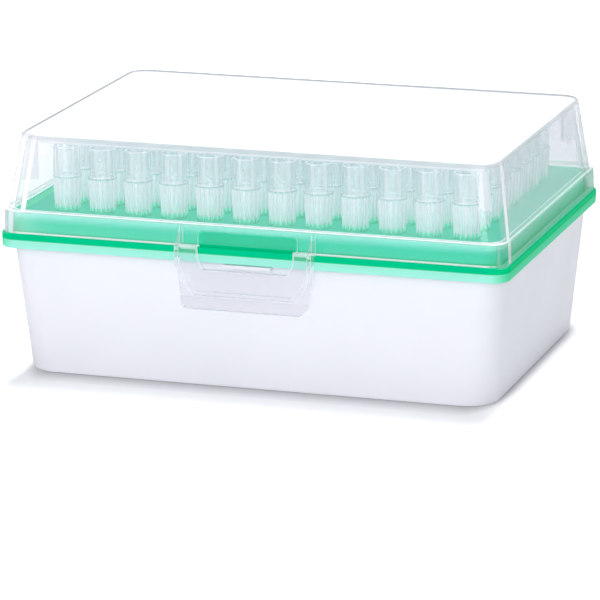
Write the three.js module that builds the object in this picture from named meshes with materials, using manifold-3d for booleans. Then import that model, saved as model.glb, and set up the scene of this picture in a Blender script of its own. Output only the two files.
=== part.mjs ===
// A hinged rack of 96 pipette tips: a tapered tub, a deck with a hole for each tip, the tips,
// and a clear lid that snaps shut at the front and swings on two pins at the back.
// Millimetres, +Z up, front towards -Y. The origin is under the middle of the tub's bottom face.
import * as THREE from 'three';
import { mergeVertices } from 'three/addons/utils/BufferGeometryUtils.js';
import Module from 'manifold-3d';

const wasm = await Module();
wasm.setup();

// ---------------------------------------------------------------- driving dimensions

const GRID = { columns: 12, rows: 8, pitch: 9 }; // the 96-well layout

// A footprint is half its length (x), half its width (y) and its corner radius (r).
const TUB = {
  bottom: { x: 58.1, y: 40.5, r: 8 },
  top: { x: 60.7, y: 43.1, r: 5.6 },
  height: 33.2,
  wall: 1.6,
  floor: 1.8,
  bottomRound: 1.2,
};

const DECK = {
  rim: { x: 62.6, y: 44.9, r: 4.3 }, // outer edge of the flange and its turned-down lip
  rimBottom: 31.05,
  flangeBottom: 33.3,
  flangeTop: 34.8,
  rimWall: 1.2,
  block: { x: 60.5, y: 42.8, r: 4.4 }, // raised block that carries the holes
  blockWall: 1.3,
  plateBottom: 36.6,
  plateTop: 38.3,
  kerbTop: 39.5, // low kerb round the plate
  kerbWidth: 1,
  hole: 2.9,
};

const TIP = {
  mouth: 54,
  step: 46.8, // where the plain barrel meets the wider collar
  foot: 38.4, // the collar's foot rests on the deck
  end: 4.6,
  barrel: 3.3,
  collarTop: 3.5,
  collarFoot: 3.15,
  neck: 2.65, // the cone's radius where it passes the deck
  point: 0.5,
  mouthBore: 2.75,
  pointBore: 0.25,
};

const LID = {
  foot: { x: 62.1, y: 44.5, r: 4 }, // outer edge of the skirt, resting on the deck's flange
  skirtTop: { x: 61.85, y: 44.2, r: 3.9 },
  shoulder: { x: 61.3, y: 43.7, r: 5.2 }, // outer wall just above the step
  top: { x: 58.7, y: 41.1, r: 5 },
  bottom: 34.9,
  step: 40.35,
  height: 58.1,
  wall: 1.2,
  edgeRound: 0.5,
};

// A thin web stands in each corner of the lid, along the corner's bisector.
const CORNER_WEB = { x: 54.6, y: 37.7, bottom: 47, thickness: 1, reach: 8 };

const LATCH = {
  halfWidth: 16.7,
  toeHalfWidth: 13.2, // straight part of the lower edge
  cornerRound: 2.5,
  top: 35.5,
  bottom: 20.8,
  plateFront: -46.9,
  plateBack: -45.6,
  ribFront: -48.4,
  rib: 0.9,
  ribFoot: { x: 11.6, z: 23.3, front: -47.5 }, // the ribs curve in and meet in a low bead here
  lipStart: 23.4, // below this the plate flares out as a finger lip
  lipFront: -48.9,
  windowHalfWidth: 11.9,
  windowBottom: 29.9,
  windowRound: 2,
  notchHalfWidth: 12.2, // opening in the skirt behind the window
  notchTop: 38.5,
  notchRound: 1.2,
};

// The tub's catch, under which the window's lower edge snaps.
const CATCH = { halfWidth: 5.9, front: -45.3, bottom: 30.1, top: 30.85 };

const HINGE = {
  y: 47.9,
  z: 33.3,
  pin: 1.2,
  gap: 0.1,
  hook: 2.7, // outer radius of the lid's hook
  ear: 1.9, // radius of the tub's ears
  earThickness: 1.6,
  hookWidth: 9,
  centres: [-34, 34],
};

const SEAT = 0.1; // clearance under a piece that rests on another
const ARC_STEPS = 6; // facets in a quarter turn of a footprint
const OUTER_TIP_SIDES = 8;
const INNER_TIP_SIDES = 6;

const MATERIALS = {
  tub: new THREE.MeshStandardMaterial({ color: 0xeceef6, roughness: 0.42, metalness: 0 }),
  deck: new THREE.MeshStandardMaterial({ color: 0x2fc894, roughness: 0.25, metalness: 0 }),
  tip: new THREE.MeshStandardMaterial({
    color: 0xdcebec, roughness: 0.2, metalness: 0, transparent: true, opacity: 0.6,
  }),
  lid: new THREE.MeshStandardMaterial({
    color: 0xe9eef4, roughness: 0.08, metalness: 0, transparent: true, opacity: 0.3,
  }),
};

// ---------------------------------------------------------------- solids and meshes

function toSolid(geometry) {
  geometry.deleteAttribute('normal');
  geometry.deleteAttribute('uv');
  const merged = mergeVertices(geometry, 1e-4);
  return new wasm.Manifold(new wasm.Mesh({
    numProp: 3,
    vertProperties: new Float32Array(merged.attributes.position.array),
    triVerts: new Uint32Array(merged.index.array),
  }));
}

function toGeometry(solid) {
  const mesh = solid.getMesh();
  const geometry = new THREE.BufferGeometry();
  geometry.setAttribute('position', new THREE.BufferAttribute(mesh.vertProperties, 3));
  geometry.setIndex(new THREE.BufferAttribute(mesh.triVerts, 1));
  geometry.computeVertexNormals();
  return geometry;
}

function namedMesh(name, geometry, material) {
  const mesh = new THREE.Mesh(geometry, material);
  mesh.name = name;
  return mesh;
}

// ---------------------------------------------------------------- outlines and lofts

function grown(footprint, by) {
  return { x: footprint.x + by, y: footprint.y + by, r: Math.max(footprint.r + by, 0.5) };
}

function blended(low, high, t) {
  const mix = (key) => THREE.MathUtils.lerp(low[key], high[key], t);
  return { x: mix('x'), y: mix('y'), r: mix('r') };
}

// The footprint's outline, anticlockwise, with ARC_STEPS facets in each corner.
function footprintPoints({ x, y, r }) {
  const corners = [[x - r, y - r], [r - x, y - r], [r - x, r - y], [x - r, r - y]];
  return corners.flatMap(([cx, cy], quarter) =>
    Array.from({ length: ARC_STEPS + 1 }, (_, step) => {
      const angle = (quarter + step / ARC_STEPS) * Math.PI / 2;
      return new THREE.Vector2(cx + r * Math.cos(angle), cy + r * Math.sin(angle));
    }));
}

// A closed solid through a stack of [z, footprint] sections, listed upwards.
function loft(sections) {
  const rings = sections.map(([z, footprint]) => ({ z, points: footprintPoints(footprint) }));
  const count = rings[0].points.length;
  const positions = rings.flatMap(({ z, points }) => points.flatMap((p) => [p.x, p.y, z]));
  const index = [];
  for (let ring = 0; ring < rings.length - 1; ring += 1) {
    for (let i = 0; i < count; i += 1) {
      const a = ring * count + i;
      const b = ring * count + (i + 1) % count;
      index.push(a, b, b + count, a, b + count, a + count);
    }
  }
  const lastRing = (rings.length - 1) * count;
  for (const [a, b, c] of THREE.ShapeUtils.triangulateShape(rings[0].points, [])) index.push(c, b, a);
  for (const [a, b, c] of THREE.ShapeUtils.triangulateShape(rings.at(-1).points, [])) {
    index.push(lastRing + a, lastRing + b, lastRing + c);
  }
  const geometry = new THREE.BufferGeometry();
  geometry.setAttribute('position', new THREE.Float32BufferAttribute(positions, 3));
  geometry.setIndex(index);
  return toSolid(geometry);
}

function extruded(shape, depth, curveSegments = 8) {
  return new THREE.ExtrudeGeometry(shape, { depth, bevelEnabled: false, curveSegments });
}

// A shape drawn in (x, z), given thickness from y = front to y = back.
function frontPanel(shape, front, back, curveSegments) {
  const geometry = extruded(shape, back - front, curveSegments);
  return toSolid(geometry.rotateX(Math.PI / 2).translate(0, back, 0));
}

// A shape drawn in (y, z), given thickness from x = from to x = to.
const SIDEWAYS = new THREE.Matrix4().makeBasis(
  new THREE.Vector3(0, 1, 0), new THREE.Vector3(0, 0, 1), new THREE.Vector3(1, 0, 0));
function sidePanel(shape, from, to, curveSegments) {
  return toSolid(extruded(shape, to - from, curveSegments).applyMatrix4(SIDEWAYS).translate(from, 0, 0));
}

function polygon(points) {
  return new THREE.Shape(points.map(([a, b]) => new THREE.Vector2(a, b)));
}

function rectangle(low, bottom, high, top) {
  return polygon([[low, bottom], [high, bottom], [high, top], [low, top]]);
}

// A turned solid about Z through [radius, z] points, listed so that its faces point out.
function turned(profile, sides) {
  const points = profile.map(([radius, z]) => new THREE.Vector2(radius, z));
  return new THREE.LatheGeometry(points, sides).rotateX(Math.PI / 2);
}

function unionOf(solids) {
  return solids.reduce((sum, solid) => sum.add(solid));
}

// ---------------------------------------------------------------- tips

// Outside of a tip from its point up to its mouth. The collar's foot is at the given height.
function tipOutside(foot) {
  return [
    [TIP.point, TIP.end],
    [TIP.neck, foot],
    [TIP.collarFoot, foot],
    [TIP.collarTop, TIP.step],
    [TIP.barrel, TIP.step],
    [TIP.barrel, TIP.mouth],
  ];
}

const TIP_BORE = [[TIP.mouthBore, TIP.mouth], [TIP.pointBore, TIP.end]];

function tipPlaces() {
  const places = [];
  for (let row = 0; row < GRID.rows; row += 1) {
    for (let column = 0; column < GRID.columns; column += 1) {
      places.push({
        name: `tip_${'ABCDEFGH'[GRID.rows - 1 - row]}${column + 1}`,
        x: (column - (GRID.columns - 1) / 2) * GRID.pitch,
        y: (row - (GRID.rows - 1) / 2) * GRID.pitch,
        onEdge: row === 0 || row === GRID.rows - 1 || column === 0 || column === GRID.columns - 1,
      });
    }
  }
  return places;
}

// The tips round the edge of the block are separate pieces that share one geometry.
function edgeTips(places) {
  const profile = [...tipOutside(TIP.foot), ...TIP_BORE];
  const geometry = turned([...profile, profile[0]], OUTER_TIP_SIDES);
  return places.map(({ name, x, y }) => {
    const tip = namedMesh(name, geometry, MATERIALS.tip);
    tip.position.set(x, y, 0);
    return tip;
  });
}

// ---------------------------------------------------------------- tub

function hingeEar() {
  const shape = new THREE.Shape();
  shape.moveTo(TUB.top.y - TUB.wall, 24.5);
  shape.lineTo(HINGE.y - 0.5, 29.5);
  shape.absarc(HINGE.y, HINGE.z, HINGE.ear, -Math.PI / 3, Math.PI, false);
  shape.lineTo(HINGE.y - HINGE.ear, DECK.rimBottom - 0.3);
  shape.lineTo(TUB.top.y - TUB.wall, DECK.rimBottom - 0.3);
  return shape;
}

// Two ears with a pin between them, for each of the lid's hooks.
function hingePins() {
  const ear = hingeEar();
  const inner = HINGE.hookWidth / 2 + 0.3;
  const outer = inner + HINGE.earThickness;
  const pin = new THREE.Shape().absarc(HINGE.y, HINGE.z, HINGE.pin, 0, 2 * Math.PI, false);
  return HINGE.centres.flatMap((x) => [
    sidePanel(ear, x - outer, x - inner, 4),
    sidePanel(ear, x + inner, x + outer, 4),
    sidePanel(pin, x - inner - 0.5, x + inner + 0.5, 6),
  ]);
}

function makeTub() {
  const { bottom, top, height, wall, floor, bottomRound } = TUB;
  const at = (z) => blended(bottom, top, z / height);
  const outside = loft([
    [0, grown(bottom, -bottomRound)],
    [bottomRound * 0.3, grown(bottom, -bottomRound * 0.3)],
    [bottomRound, at(bottomRound)],
    [height, top],
  ]);
  const inside = loft([
    [floor, grown(at(floor), -wall - 1)],
    [floor + 1, grown(at(floor), -wall)],
    [height + 1, grown(top, -wall)],
  ]);
  const ledge = frontPanel(
    rectangle(-CATCH.halfWidth, CATCH.bottom, CATCH.halfWidth, CATCH.top), CATCH.front, -TUB.top.y + TUB.wall);
  const tub = unionOf([outside.subtract(inside), ledge, ...hingePins()]);
  return namedMesh('tub', toGeometry(tub), MATERIALS.tub);
}

// ---------------------------------------------------------------- deck

function makeDeck(edgePlaces, innerPlaces) {
  const { rim, block } = DECK;
  const outside = loft([
    [DECK.rimBottom, grown(rim, -0.5)],
    [DECK.rimBottom + 0.4, grown(rim, -0.1)],
    [DECK.flangeTop - 0.2, rim],
    [DECK.flangeTop, grown(rim, -0.2)],
    [DECK.flangeTop, grown(block, 0.1)],
    [DECK.kerbTop - 0.2, block],
    [DECK.kerbTop, grown(block, -0.2)],
  ]);
  const tray = loft([
    [DECK.plateTop, grown(block, -DECK.kerbWidth - 0.1)],
    [DECK.kerbTop + 1, grown(block, -DECK.kerbWidth)],
  ]);
  const underside = loft([
    [DECK.rimBottom - 1, grown(rim, -DECK.rimWall)],
    [DECK.flangeBottom, grown(rim, -DECK.rimWall - 0.1)],
    [DECK.flangeBottom, grown(block, -DECK.blockWall)],
    [DECK.plateBottom, grown(block, -DECK.blockWall - 0.1)],
  ]);
  const hole = toSolid(turned([
    [0, DECK.plateBottom - 1], [DECK.hole, DECK.plateBottom - 1],
    [DECK.hole, DECK.plateTop + 1], [0, DECK.plateTop + 1],
  ], OUTER_TIP_SIDES));
  const outer = toSolid(turned([
    [0, TIP.end], ...tipOutside(DECK.plateTop - SEAT), [0, TIP.mouth]], INNER_TIP_SIDES));
  const bore = toSolid(turned([
    [0, TIP.end - 1], [TIP.pointBore, TIP.end - 1], ...[...TIP_BORE].reverse(),
    [TIP.mouthBore, TIP.mouth + 1], [0, TIP.mouth + 1]], INNER_TIP_SIDES));
  const placed = (solid, places) => places.map(({ x, y }) => solid.translate([x, y, 0]));

  const plate = outside.subtract(tray).subtract(underside).subtract(unionOf(placed(hole, edgePlaces)));
  const deck = plate.add(unionOf(placed(outer, innerPlaces))).subtract(unionOf(placed(bore, innerPlaces)));
  return namedMesh('deck', toGeometry(deck), MATERIALS.deck);
}

// ---------------------------------------------------------------- lid

// Outline of the latch in (x, z).
function latchOutline() {
  const { halfWidth: side, toeHalfWidth: toe, bottom, top } = LATCH;
  const knee = side - 1;
  const kneeHeight = bottom + LATCH.cornerRound;
  const shape = new THREE.Shape();
  shape.moveTo(-side, top);
  shape.quadraticCurveTo(-side, 29, -knee, kneeHeight);
  shape.quadraticCurveTo(0.3 - knee, bottom, -toe, bottom);
  shape.lineTo(toe, bottom);
  shape.quadraticCurveTo(knee - 0.3, bottom, knee, kneeHeight);
  shape.quadraticCurveTo(side, 29, side, top);
  return shape;
}

// Outline of the panel that the ribs frame. They swing in below the window and meet at the lip.
function panelOutline(inset) {
  const side = LATCH.halfWidth - inset;
  const foot = LATCH.ribFoot.x - inset / 2;
  const low = LATCH.ribFoot.z + inset;
  const shape = new THREE.Shape();
  shape.moveTo(-side, LATCH.top);
  shape.lineTo(-side, 33);
  shape.quadraticCurveTo(-side, 27.5 + inset, -foot, low);
  shape.lineTo(foot, low);
  shape.quadraticCurveTo(side, 27.5 + inset, side, 33);
  shape.lineTo(side, LATCH.top);
  return shape;
}

function latchWindow() {
  const { windowHalfWidth: half, windowBottom: bottom, windowRound: round, top } = LATCH;
  const shape = new THREE.Shape();
  shape.moveTo(-half, top + 1);
  shape.lineTo(-half, top - 1);
  shape.quadraticCurveTo(-half + 0.3, bottom + 0.3, -half + round, bottom);
  shape.lineTo(half - round, bottom);
  shape.quadraticCurveTo(half - 0.3, bottom + 0.3, half, top - 1);
  shape.lineTo(half, top + 1);
  return shape;
}

// Opening in the skirt behind the latch's window, with rounded upper corners.
function skirtNotch() {
  const { notchHalfWidth: half, notchTop: top, notchRound: round } = LATCH;
  const shape = new THREE.Shape();
  shape.moveTo(half, LID.bottom - 1);
  shape.lineTo(half, top - round);
  shape.quadraticCurveTo(half, top, half - round, top);
  shape.lineTo(round - half, top);
  shape.quadraticCurveTo(-half, top, -half, top - round);
  shape.lineTo(-half, LID.bottom - 1);
  return shape;
}

// Depth of the lip's front face at height z.
function lipFace(z) {
  const { plateFront, lipFront, lipStart, bottom } = LATCH;
  return THREE.MathUtils.mapLinear(z, lipStart, bottom, plateFront, lipFront);
}

// Side view of the plate in (y, z): upright, then flared out as the finger lip.
function plateProfile() {
  const { top, bottom, plateFront, plateBack, lipStart } = LATCH;
  const lowest = bottom - 1;
  return polygon([
    [plateBack, top], [plateFront, top], [plateFront, lipStart], [lipFace(lowest), lowest],
    [lipFace(lowest) + plateBack - plateFront, lowest], [plateBack, lipStart - 0.3],
  ]);
}

// Side view of the ribs in (y, z). They start inside the plate and get lower towards the lip.
function ribProfile() {
  const { top, plateFront, ribFront, ribFoot } = LATCH;
  const core = plateFront + 0.5;
  const end = ribFoot.z - 0.2;
  return polygon([[core, top], [ribFront, top], [ribFront, 29.5], [ribFoot.front, end], [core, end]]);
}

// The latch hangs from the skirt on two arms. Ribs run down both sides, up to the lid's step.
function makeLatch() {
  const { halfWidth, top, plateFront, plateBack, ribFront, rib } = LATCH;
  const root = -(LID.foot.y - LID.wall / 2);
  const face = frontPanel(latchOutline(), ribFront - 3, root);
  const frame = face.intersect(frontPanel(panelOutline(0), ribFront - 3, root))
    .subtract(frontPanel(panelOutline(rib), ribFront - 4, root + 1));
  const plate = sidePanel(plateProfile(), -halfWidth - 1, halfWidth + 1).intersect(face);
  const ribs = sidePanel(ribProfile(), -halfWidth - 1, halfWidth + 1).intersect(frame);
  const shelf = frontPanel(rectangle(-halfWidth, LID.bottom, halfWidth, top), plateFront, root);
  const gusset = polygon([
    [root, LID.step - 0.1], [ribFront, top], [ribFront, top - 1],
    [plateBack, top - 1], [plateBack, LID.bottom], [root, LID.bottom],
  ]);
  return unionOf([
    plate, ribs, shelf,
    sidePanel(gusset, -halfWidth, rib - halfWidth),
    sidePanel(gusset, halfWidth - rib, halfWidth),
  ]).subtract(frontPanel(latchWindow(), ribFront - 3, plateBack + 0.3));
}

// A hook over each of the tub's hinge pins, open underneath.
function hingeHook(x) {
  const bore = HINGE.pin + HINGE.gap;
  const start = THREE.MathUtils.degToRad(145);
  const end = THREE.MathUtils.degToRad(-65);
  const root = LID.foot.y - LID.wall / 2;
  const shape = new THREE.Shape();
  shape.moveTo(root, LID.bottom);
  shape.lineTo(HINGE.y + bore * Math.cos(start), LID.bottom);
  shape.absarc(HINGE.y, HINGE.z, bore, start, end, true);
  shape.absarc(HINGE.y, HINGE.z, HINGE.hook, end, Math.PI / 2, false);
  shape.lineTo(root, HINGE.z + HINGE.hook);
  return sidePanel(shape, x - HINGE.hookWidth / 2, x + HINGE.hookWidth / 2, 7);
}

function cornerWeb(signX, signY) {
  const { x, y, bottom, thickness, reach } = CORNER_WEB;
  const geometry = extruded(rectangle(0, -thickness / 2, reach, thickness / 2), LID.height - bottom);
  const direction = Math.atan2(signY, signX);
  return toSolid(geometry.rotateZ(direction).translate(signX * x, signY * y, bottom));
}

function makeLid() {
  const { foot, skirtTop, shoulder, top, bottom, step, height, wall, edgeRound } = LID;
  const slopeAt = (z) => blended(shoulder, top, (z - step) / (height - step));
  const outside = loft([
    [bottom, foot],
    [step - 0.2, skirtTop],
    [step, grown(skirtTop, -0.2)],
    [step, shoulder],
    [height - edgeRound, slopeAt(height - edgeRound)],
    [height, grown(top, -edgeRound)],
  ]);
  const inside = loft([
    [bottom - 1, grown(foot, -wall)],
    [step - 0.55, grown(skirtTop, -wall)],
    [step, grown(shoulder, -wall)],
    [height - wall - 0.5, grown(slopeAt(height - wall), -wall)],
    [height - wall, grown(slopeAt(height - wall), -wall - 0.5)],
  ]);
  const webs = [[1, 1], [-1, 1], [-1, -1], [1, -1]].map(([sx, sy]) => cornerWeb(sx, sy));
  const shell = outside.subtract(inside).add(unionOf(webs).intersect(outside));
  const notch = frontPanel(skirtNotch(), LATCH.plateBack, -skirtTop.y + wall + 0.5, 3);
  const lid = unionOf([shell, makeLatch(), ...HINGE.centres.map(hingeHook)]).subtract(notch);
  return namedMesh('lid', toGeometry(lid), MATERIALS.lid);
}

// ---------------------------------------------------------------- assembly

const places = tipPlaces();
const edgePlaces = places.filter(({ onEdge }) => onEdge);
const innerPlaces = places.filter(({ onEdge }) => !onEdge);

const tipRack = new THREE.Group();
tipRack.add(makeTub(), makeDeck(edgePlaces, innerPlaces), makeLid(), ...edgeTips(edgePlaces));

export default tipRack;
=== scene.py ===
"""Looks for the box of pipette tips: every CAD node is dressed with a finer piece in the same place.

Lengths in the tables below are millimetres in the part's frame (origin under the middle of the tub's
bottom face, front towards -Y, +Z up), and become metres when a mesh is made.
"""
import math

import bmesh
import bpy
from mathutils import Euler, Matrix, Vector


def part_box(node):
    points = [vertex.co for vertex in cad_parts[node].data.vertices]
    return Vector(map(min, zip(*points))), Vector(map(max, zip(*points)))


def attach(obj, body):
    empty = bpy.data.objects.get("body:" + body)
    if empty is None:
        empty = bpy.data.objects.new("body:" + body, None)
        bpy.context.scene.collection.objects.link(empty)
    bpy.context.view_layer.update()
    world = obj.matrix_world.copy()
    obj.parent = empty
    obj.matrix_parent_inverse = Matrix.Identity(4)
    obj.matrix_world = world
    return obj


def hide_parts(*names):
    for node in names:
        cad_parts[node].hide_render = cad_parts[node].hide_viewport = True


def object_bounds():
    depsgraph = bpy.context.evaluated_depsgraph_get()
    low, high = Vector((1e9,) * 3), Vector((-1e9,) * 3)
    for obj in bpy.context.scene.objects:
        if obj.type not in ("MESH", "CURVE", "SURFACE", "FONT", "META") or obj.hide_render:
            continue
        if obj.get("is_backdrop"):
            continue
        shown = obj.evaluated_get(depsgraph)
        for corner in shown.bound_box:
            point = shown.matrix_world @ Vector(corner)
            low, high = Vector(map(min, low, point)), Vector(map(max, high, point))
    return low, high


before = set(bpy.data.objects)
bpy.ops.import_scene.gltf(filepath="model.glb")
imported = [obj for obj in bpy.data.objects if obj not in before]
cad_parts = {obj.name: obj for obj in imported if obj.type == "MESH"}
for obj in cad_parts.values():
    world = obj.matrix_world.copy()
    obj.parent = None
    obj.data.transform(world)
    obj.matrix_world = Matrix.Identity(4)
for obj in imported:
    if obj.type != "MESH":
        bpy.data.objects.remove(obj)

MM = 0.001
CORNER_STEPS = 14  # facets in a quarter turn of a rounded corner
CREASE = {"moulding": 35, "tip": 40}  # degrees from which an edge is shaded sharp

GRID = {"columns": 12, "rows": 8, "pitch": 9.0}

# Sections are (height, half length, half width, corner radius).
TUB = [
    (0.0, 57.6, 40.0, 7.4), (0.06, 57.85, 40.25, 7.65), (0.3, 58.05, 40.45, 7.85), (0.8, 58.17, 40.57, 7.95),
    (32.9, 60.68, 43.08, 5.6), (33.15, 60.6, 43.0, 5.5), (33.2, 60.4, 42.8, 5.3),
    (33.2, 59.35, 41.75, 4.3), (33.1, 59.15, 41.55, 4.1), (32.9, 59.1, 41.5, 4.0),
    (4.2, 56.85, 39.25, 6.0), (2.6, 56.4, 38.8, 5.6), (1.9, 55.5, 37.9, 4.8), (1.8, 54.5, 36.9, 4.0),
]
CATCH = {"x": 5.9, "front": -45.3, "back": -42.2, "bottom": 30.15, "top": 31.02, "round": 0.1}

DECK = [
    (36.6, 59.0, 41.3, 3.0), (33.3, 59.2, 41.5, 3.1), (33.3, 61.3, 43.6, 3.0), (31.15, 61.4, 43.7, 3.1),
    (31.05, 61.5, 43.8, 3.2), (31.05, 62.0, 44.3, 3.7), (31.15, 62.35, 44.65, 4.1), (31.4, 62.52, 44.82, 4.2),
    (33.3, 62.6, 44.9, 4.3), (34.33, 62.6, 44.9, 4.3), (34.5, 62.52, 44.82, 4.2), (34.58, 62.3, 44.6, 4.0),
    (34.58, 60.75, 43.05, 4.6), (34.73, 60.6, 42.9, 4.5), (39.25, 60.45, 42.75, 4.35),
    (39.43, 60.37, 42.67, 4.25), (39.5, 60.2, 42.5, 4.1), (39.5, 59.7, 42.0, 3.6),
    (39.43, 59.55, 41.85, 3.45), (38.6, 59.4, 41.7, 3.3), (38.4, 59.3, 41.6, 3.2), (38.3, 59.0, 41.3, 2.9),
]
HOLE = {"radius": 2.9, "bottom": 34.5, "top": 40.5, "sides": 24}

# The tip's outside and bore as (radius, height). Ribs stand on the collar between the two heights.
TIP_OUTSIDE = [
    (0.5, 4.6), (0.62, 4.75), (2.63, 38.2), (2.68, 39.1), (2.8, 39.5), (2.98, 39.9), (3.05, 41.0),
    (3.25, 46.3), (3.33, 46.6), (3.33, 46.78), (3.27, 46.86), (3.28, 53.8), (3.22, 53.94), (3.1, 54.0),
]
TIP_BORE = [(2.86, 54.0), (2.78, 53.93), (2.72, 53.7), (2.35, 40.0), (0.25, 4.6)]
RIBS = {"count": 16, "bottom": 38.8, "top": 46.72, "foot": 3.1, "head": 3.5, "width": 0.5, "middle": 3.2,
        "point": 1.0}
# Places round one rib and the gap beside it, in rib widths from the rib's middle.
# The rib itself is the middle two.
RIB_CORNERS = (-1.6, -0.9, -0.45, 0.45, 0.9, 1.6)

# The lid's outside from the skirt's foot up, then its inside back down.
LID = [
    (34.68, 61.2, 43.6, 3.2), (34.7, 61.95, 44.35, 3.9), (34.88, 62.1, 44.5, 4.0), (39.75, 61.87, 44.22, 3.9),
    (39.98, 61.8, 44.15, 3.85), (40.05, 61.65, 44.0, 3.7), (40.08, 61.4, 43.8, 5.3),
    (40.25, 61.28, 43.68, 5.2), (57.3, 58.84, 41.22, 5.0), (57.75, 58.66, 41.06, 4.85),
    (58.0, 58.35, 40.75, 4.55), (58.1, 57.9, 40.3, 4.1),
]
LID_INSIDE = [
    (56.9, 56.9, 39.3, 2.6), (56.8, 57.3, 39.7, 3.0), (56.4, 57.62, 40.02, 3.8),
    (40.05, 60.1, 42.5, 4.0), (39.5, 60.62, 43.0, 2.7), (33.9, 60.9, 43.3, 2.8),
]
TOP = 58.1
CORNER_WEB = {"x": 54.6, "y": 37.7, "bottom": 47.0, "thickness": 1.0, "reach": 8.0}

HINGE = {"y": 47.9, "z": 33.3, "pin": 1.2, "bore": 1.3, "hook": 2.7, "ear": 1.9, "half": 4.5, "gap": 0.3,
         "ear_width": 1.6, "ear_back": 41.9, "ear_foot": 24.5, "ear_top": 30.75, "x": (-34.0, 34.0)}
LATCH = {"half": 16.7, "knee": 15.7, "toe": 13.2, "top": 35.5, "bottom": 20.8, "knee_height": 23.3,
         "front": -46.9, "back": -45.6, "lip_start": 23.4, "lip_front": -48.9, "root": -43.9, "step": 39.95}
# The ribs run straight down to the bend, then swing in and meet in a low bead along the lip.
LATCH_RIB = {"front": -48.4, "width": 0.9, "bend": 33.0, "full": 29.5, "foot": 11.6, "low": 23.3,
             "bead": -47.5}
WINDOW = {"half": 11.9, "bottom": 29.9, "round": 2.0}
NOTCH = {"half": 12.2, "top": 38.5, "round": 1.2, "back": -42.3}
PAST = 3  # how far a cutting shape runs on past what it cuts


# ------------------------------------------------------------------ mesh helpers

def link(name, mesh):
    piece = bpy.data.objects.new(name, mesh)
    bpy.context.scene.collection.objects.link(piece)
    return piece


def from_bmesh(name, bm):
    bmesh.ops.recalc_face_normals(bm, faces=bm.faces)
    mesh = bpy.data.meshes.new(name)
    bm.to_mesh(mesh)
    bm.free()
    return link(name, mesh)


def outline(x, y, radius):
    """A rounded rectangle, anticlockwise."""
    points = []
    corners = [(x - radius, y - radius), (radius - x, y - radius), (radius - x, radius - y),
               (x - radius, radius - y)]
    for quarter, (cx, cy) in enumerate(corners):
        for step in range(CORNER_STEPS + 1):
            angle = (quarter + step / CORNER_STEPS) * math.pi / 2
            points.append((cx + radius * math.cos(angle), cy + radius * math.sin(angle)))
    return points


def loft(name, sections):
    """A closed mesh through rounded-rectangle sections, with a flat face at each end."""
    bm = bmesh.new()
    rings = [
        [bm.verts.new((px * MM, py * MM, z * MM)) for px, py in outline(x, y, radius)]
        for z, x, y, radius in sections
    ]
    for ring, following in zip(rings, rings[1:]):
        for i in range(len(ring)):
            bm.faces.new((ring[i - 1], ring[i], following[i], following[i - 1]))
    bm.faces.new(rings[0])
    bm.faces.new(rings[-1])
    return from_bmesh(name, bm)


def prism(name, points, start, end, place):
    """A closed outline given thickness: place(a, b, depth) returns the corner's position in millimetres."""
    bm = bmesh.new()
    rings = [
        [bm.verts.new([c * MM for c in place(a, b, depth)]) for a, b in points]
        for depth in (start, end)
    ]
    for i in range(len(points)):
        bm.faces.new((rings[0][i - 1], rings[0][i], rings[1][i], rings[1][i - 1]))
    bm.faces.new(rings[0])
    bm.faces.new(rings[1])
    return from_bmesh(name, bm)


def front_panel(name, points, front, back):
    """An outline in (x, z) with thickness along y."""
    return prism(name, points, front, back, lambda x, z, y: (x, y, z))


def side_panel(name, points, left, right):
    """An outline in (y, z) with thickness along x."""
    return prism(name, points, left, right, lambda y, z, x: (x, y, z))


def rectangle(low, bottom, high, top):
    return [(low, bottom), (high, bottom), (high, top), (low, top)]


def arc(cx, cz, radius, start, end, steps):
    angles = [math.radians(start + (end - start) * i / steps) for i in range(steps + 1)]
    return [(cx + radius * math.cos(a), cz + radius * math.sin(a)) for a in angles]


def curve(p0, p1, p2, steps=8):
    """Points of a quadratic curve, without its first."""
    points = []
    for i in range(1, steps + 1):
        t = i / steps
        points.append(tuple((1 - t) ** 2 * a + 2 * t * (1 - t) * b + t * t * c
                            for a, b, c in zip(p0, p1, p2)))
    return points


def combined(base, others, operation):
    """base with others added, taken away or kept in common. The others are used up."""
    for other in others:
        modifier = base.modifiers.new("combine", "BOOLEAN")
        modifier.object = other
        modifier.operation = operation
        modifier.solver = "EXACT"
        bake_modifiers(base)
        bpy.data.objects.remove(other)
    return base


def bake_modifiers(piece):
    graph = bpy.context.evaluated_depsgraph_get()
    mesh = bpy.data.meshes.new_from_object(piece.evaluated_get(graph))
    piece.modifiers.clear()
    piece.data = mesh


def joined(name, parts):
    """One object from several, which keep their own closed shapes."""
    bm = bmesh.new()
    for part in parts:
        bm.from_mesh(part.data)
        bpy.data.objects.remove(part)
    return from_bmesh(name, bm)


def finish_piece(piece, material, body, nodes):
    """Smooth shading up to a crease angle, a material, the body it rides on and the nodes it stands for."""
    piece.data.materials.clear()
    piece.data.materials.append(material)
    piece.data.shade_smooth()
    piece.data.set_sharp_from_angle(angle=math.radians(CREASE["moulding"]))
    normals = piece.modifiers.new("weighted_normals", "WEIGHTED_NORMAL")
    normals.keep_sharp = True
    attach(piece, body)
    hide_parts(*nodes)
    return piece


# ------------------------------------------------------------------ material helpers

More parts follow.
